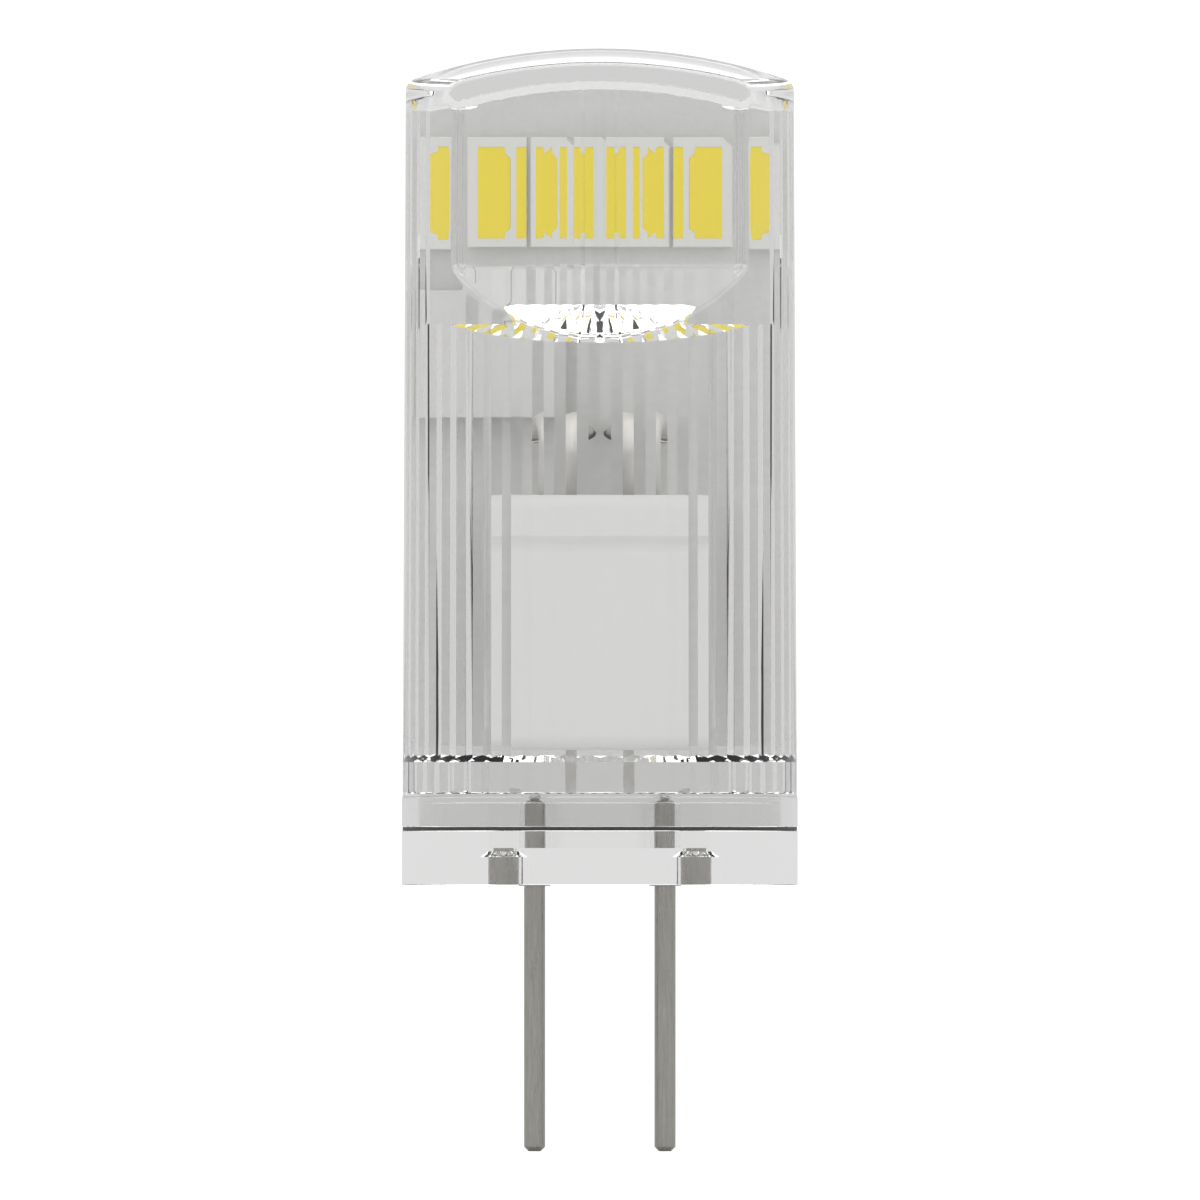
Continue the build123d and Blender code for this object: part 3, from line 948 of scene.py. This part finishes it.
@dataclass
class Board:
    """Circuit board with its chips, choke, resistors, wires and solder."""

    solder_radius: float = 0.55
    lead_x: float = 1.25
    lead_radius: float = 0.275
    wire_radius: float = 0.18
    wire_bend: float = 0.5
    gap: float = 0.02
    cap: float = 0.42
    cap_edge: float = 0.08
    chip_edge: float = 0.09
    dot_radius: float = 0.16
    dot_depth: float = 0.04
    leg_width: float = 0.4
    leg_pitch: float = 1.1
    leg_thick: float = 0.12
    leg_foot: float = 0.3
    leg_rise: float = 0.2
    leg_edge: float = 0.03
    resistor_count: int = 3
    resistor_pitch: float = 0.92
    resistor_size: Point = (1.6, 0.45, 0.8)
    resistor_cap: float = 0.3
    resistor_step: float = 0.01
    resistor_edge: float = 0.03
    resistor_cap_edge: float = 0.05
    choke_edge: float = 0.06
    choke_core: float = 0.72
    winding_share: float = 0.9
    winding_turns: int = 5
    winding_sides: int = 10

    def plate(self) -> None:
        """Dresses the board as it comes."""
        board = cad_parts["circuit_board"]
        board.data.materials.clear()
        board.data.materials.append(BOARD_MASK.material())
        LOG.info("circuit_board: kept, dressed")

    def solder(self) -> None:
        """Makes the two solder joints, each drawn up to its lead."""
        low, high = span("solder_joints")
        inner, r, h = self.lead_radius + self.gap, self.solder_radius, high[1] - low[1]
        sketch = Sketch()
        for side in (-1, 1):
            at = (side * self.lead_x, low[1], (low[2] + high[2]) / 2)
            flank = [(inner + (r - inner) * (1 - t) ** 2, h * t) for t in (0.0, 0.1, 0.25, 0.45, 0.7, 0.95)]
            sketch.turn([(inner, 0.0), *flank, (inner, h)], at, Axis.REAR, 40, True)
        sketch.seat("solder_joints", "solder", SOLDER, sharp=50)

    def wires(self) -> None:
        """Makes the two feed wires."""
        for word in ("left", "right"):
            node = f"feed_wire_{word}"
            low, high = span(node)
            x = (low[0] + high[0]) / 2
            z = low[2] + self.wire_radius
            y = high[1] - self.wire_radius
            route = [(x, low[1], z), (x, y, z), (x, y, high[2])]
            Sketch().tube(route, self.wire_radius, self.wire_bend).seat(node, "tinned_wire", TINNED)

    def chips(self) -> None:
        """Makes the chip capacitor, the rectifier, the driver and the resistors."""
        low, high = span("chip_capacitor")
        gap, cap, edge = self.gap, self.cap, self.cap_edge
        sketch = Sketch()
        middle = (low[0] + cap, low[1] + gap, low[2] + gap), (high[0] - cap, high[1], high[2] - gap)
        sketch.block(*middle, edge / 2)
        sketch.block(low, (low[0] + cap, high[1], high[2]), edge, 1)
        sketch.block((high[0] - cap, low[1], low[2]), high, edge, 1)
        sketch.seat("chip_capacitor", "chip_ceramic", CERAMIC, SOLDER)
        for name in ("rectifier", "driver"):
            low, high = span(f"{name}_body")
            self.chip(name, low, high)
            self.legs(name, low, high)
        self.resistors()

    def chip(self, name: str, low: Point, high: Point) -> None:
        """Makes a chip's body, with a round mark at its first leg."""
        dot = Sketch().turn([(0, 0), (self.dot_radius, 0), (self.dot_radius, 0.1), (0, 0.1)],
                            (low[0] + self.cap, high[1] - self.dot_depth, high[2] - self.cap), Axis.REAR, 32)
        body = Sketch().block(low, high, self.chip_edge).thing(f"dressed_{name}_body")
        carve(body, [(dot.thing("dot"), Cut.TAKE)])
        seat_piece(body, "chip_plastic", [f"{name}_body"], [CHIP_PLASTIC])

    def resistors(self) -> None:
        """Makes the three chip resistors, each with a cap at both ends."""
        low, high = span("chip_resistors")
        width, depth, height = self.resistor_size
        left, right, cap = low[0], low[0] + width, self.resistor_cap
        front, back = low[1], low[1] + depth - self.gap
        step, edge = self.resistor_step, self.resistor_cap_edge
        sketch = Sketch()
        for i in range(self.resistor_count):
            z = low[2] + i * self.resistor_pitch
            middle = (left + cap, front, z + step), (high[0] - cap, high[1], z + height - step)
            sketch.block(*middle, self.resistor_edge)
            sketch.block((left, front, z), (left + cap, back, z + height), edge, 1)
            sketch.block((right - cap, front, z), (right, back, z + height), edge, 1)
        sketch.seat("chip_resistors", "resistor_body", RESISTOR, SOLDER)

    def legs(self, name: str, low: Point, high: Point) -> None:
        """Makes the legs of a chip, each a bent strip from its side to the board.

        Args:
            name: The chip's name.
            low: Lowest corner of the chip's body.
            high: Highest corner of the chip's body.
        """
        node = f"{name}_legs"
        leg_low, leg_high = span(node)
        width, pitch, thick = self.leg_width, self.leg_pitch, self.leg_thick
        rows = int((high[2] - low[2] - width) / pitch) + 1
        first = (low[2] + high[2]) / 2 - pitch * (rows - 1) / 2
        foot, level = leg_low[1], leg_low[1] + self.leg_rise
        sketch = Sketch()
        for row in range(rows):
            z = first + row * pitch
            for outer, inner in ((leg_low[0], low[0]), (leg_high[0], high[0])):
                way = 1 if inner > outer else -1
                mid = outer + way * self.leg_foot
                rise = mid - way * thick
                for a, b, under, over in ((outer, mid, foot, foot + thick), (rise, mid, foot, level),
                                          (rise, inner - way * self.gap / 2, level - thick, level)):
                    left, right = sorted((a, b))
                    sketch.block((left, under, z - width / 2), (right, over, z + width / 2), self.leg_edge)
        sketch.seat(node, "solder", SOLDER)

    def choke(self) -> None:
        """Makes the drum choke with its copper winding."""
        low, high = span("choke")
        r, h = (high[2] - low[2]) / 2, high[1] - low[1]
        at = ((low[0] + high[0]) / 2, low[1], (low[2] + high[2]) / 2)
        e, core = self.choke_edge, r * self.choke_core
        drum = rounded([(0, 0, 0), (r, 0, e), (r, h / 3, e), (core, h / 3, 0), (core, 2 * h / 3, 0),
                        (r, 2 * h / 3, e), (r, h, e), (0, h, 0)], 4)
        sketch = Sketch().turn(drum, at, Axis.REAR, 96)
        wire = h / 3 / self.winding_turns / 2
        for turn in range(self.winding_turns):
            y = h / 3 + wire * (2 * turn + 1)
            ways = [math.pi * 2 * k / self.winding_sides for k in range(self.winding_sides)]
            middle = r * self.winding_share
            loop = [(middle + wire * math.cos(a), y - wire * math.sin(a)) for a in ways]
            sketch.turn(loop, at, Axis.REAR, 96, True, 1)
        sketch.seat("choke", "ferrite", FERRITE, COPPER)

    def build(self) -> None:
        """Makes everything on the board but the LEDs."""
        self.plate()
        self.solder()
        self.wires()
        self.chips()
        self.choke()


@dataclass
class LedRow:
    """Three LED packages with their phosphor on one face of the board."""

    face: str = "front"
    count: int = 3
    window_chamfer: float = 0.35
    notch: float = 0.30
    edge: float = 0.04
    fill_drop: float = 0.015
    fill_edge: float = 0.012
    fill_bury: float = 0.1
    cutter_reach: float = 0.2

    def pocket(self, low: Point, high: Point) -> Outline:
        """Outline of a package's window, its corners cut."""
        c = self.window_chamfer
        (x0, _, z0), (x1, _, z1) = low, high
        return [(x0 + c, z0), (x1 - c, z0), (x1, z0 + c), (x1, z1 - c), (x1 - c, z1), (x0 + c, z1),
                (x0, z1 - c), (x0, z0 + c)]

    def build(self) -> None:
        """Makes the packages and the phosphor."""
        rear = self.face == "back"
        out = 1 if rear else -1
        n = self.notch
        for i in range(self.count):
            node, glow = f"led_{self.face}_{i + 1}", f"phosphor_{self.face}_{i + 1}"
            low, high = span(node)
            open_low, open_high = span(glow)
            (x0, y0, z0), (x1, y1, z1) = low, high
            if rear:
                outline = [(x0, z0), (x1, z0), (x1, z1), (x0 + n, z1), (x0, z1 - n)]
                front, back, deep = y1, y0, open_low[1]
            else:
                outline = [(x0, z0), (x1, z0), (x1, z1 - n), (x1 - n, z1), (x0, z1)]
                front, back, deep = y0, y1, open_high[1]
            body = Sketch().slab(outline, front, back, self.edge).thing(f"dressed_{node}")
            window = self.pocket(open_low, open_high)
            cutter = Sketch().slab(window, front + out * self.cutter_reach, deep).thing("window_cutter")
            carve(body, [(cutter, Cut.TAKE)])
            seat_piece(body, "led_package", [node], [PACKAGE])
            sunk = -out * self.fill_drop
            filling = Sketch().slab(window, front + sunk, deep - sunk * self.fill_bury, self.fill_edge)
            filling.seat(glow, "phosphor", PHOSPHOR)


SKY_LEVELS = ((0.0, 0.7), (0.40, 0.75), (0.55, 0.75), (0.66, 0.95), (0.70, 2.4), (0.895, 2.4), (0.905, 0.1),
              (0.92, 0.1), (0.93, 2.4), (1.0, 2.4))


@dataclass
class Studio:
    """Pale floor, plain white surroundings and the camera.

    SKY_LEVELS holds what clear plastic and metal see: the height in the sky, from 0 straight down to 1
    straight up, and the brightness there, with one narrow dark ring that draws their edges.
    """

    plain_strength: float = 1.1
    floor_height: float = -8.17
    floor_gap: float = 0.02
    floor_size: float = 600.0
    view_height: float = 8.74
    view_width: float = 36.81
    view_x: float = 0.006
    view_distance: float = 300.0

    def world(self) -> None:
        """White surroundings: plain for the camera and for diffuse light, a sky for gloss and glass."""
        world = bpy.data.worlds.new("studio_world")
        bpy.context.scene.world = world
        world.use_nodes = True
        tree = world.node_tree
        tree.nodes.clear()
        leave, plain, studio, mix, path = make(tree, "OutputWorld", "Background", "Background", "MixShader",
                                               "LightPath")
        clear, ramp, place = make(tree, "Math", "ValToRGB", "TexCoord")
        split, shift = make(tree, "SeparateXYZ", "MapRange")
        clear.operation = "MAXIMUM"
        fill(shift, From_Min=-1.0)
        while len(ramp.color_ramp.elements) < len(SKY_LEVELS):
            ramp.color_ramp.elements.new(0.5)
        for stop, (at, level) in zip(ramp.color_ramp.elements, SKY_LEVELS):
            stop.position = at
            stop.color = (level, level, level, 1.0)
        join(tree, (place, "Generated", split, "Vector"), (split, "Z", shift, "Value"),
             (shift, "Result", ramp, "Fac"), (ramp, "Color", studio, "Color"),
             (path, "Is Glossy Ray", clear, 0), (path, "Is Transmission Ray", clear, 1),
             (clear, "Value", mix, "Fac"), (plain, "Background", mix, 1),
             (studio, "Background", mix, 2), (mix, "Shader", leave, "Surface"))
        fill(plain, Color=(1.0, 1.0, 1.0, 1.0), Strength=self.plain_strength)

    def floor(self) -> None:
        """Pale floor just under the pins."""
        half = self.floor_size / 2
        z = self.floor_height - self.floor_gap
        sketch = Sketch()
        sketch.points += [(-half, -half, z), (half, -half, z), (half, half, z), (-half, half, z)]
        sketch.face((0, 1, 2, 3), 0)
        plane = sketch.thing("studio_floor")
        pale = Finish("studio_floor", (0.84, 0.84, 0.84), (0.83, 0.83, 0.83), 0.0, 0.7, 0.8, 30, 30, 0.0)
        plane.data.materials.append(pale.material())

    def camera(self) -> None:
        """Level view straight at the front, without perspective."""
        data = bpy.data.cameras.new("front_view")
        data.type = "ORTHO"
        data.ortho_scale = self.view_width * MM
        camera = bpy.data.objects.new("front_view", data)
        camera.location = (self.view_x * MM, -self.view_distance * MM, self.view_height * MM)
        camera.rotation_euler = (math.pi / 2, 0, 0)
        bpy.context.scene.collection.objects.link(camera)
        bpy.context.scene.camera = camera

    def build(self) -> None:
        """Sets up the studio."""
        self.world()
        self.floor()
        self.camera()
        scene = bpy.context.scene
        scene.view_settings.view_transform = "Standard"
        scene.cycles.max_bounces = 32
        scene.cycles.transmission_bounces = 32
        scene.cycles.glossy_bounces = 8
        scene.cycles.diffuse_bounces = 6


def main() -> None:
    """Builds the bulb and the studio."""
    logging.basicConfig(level=logging.INFO, format="%(message)s")
    ClearCover().build()
    Base().build()
    Capacitor().build()
    Board().build()
    LedRow("front").build()
    LedRow("back").build()
    Studio().build()
    LOG.info("boxes written")


if __name__ == "__main__":
    main()
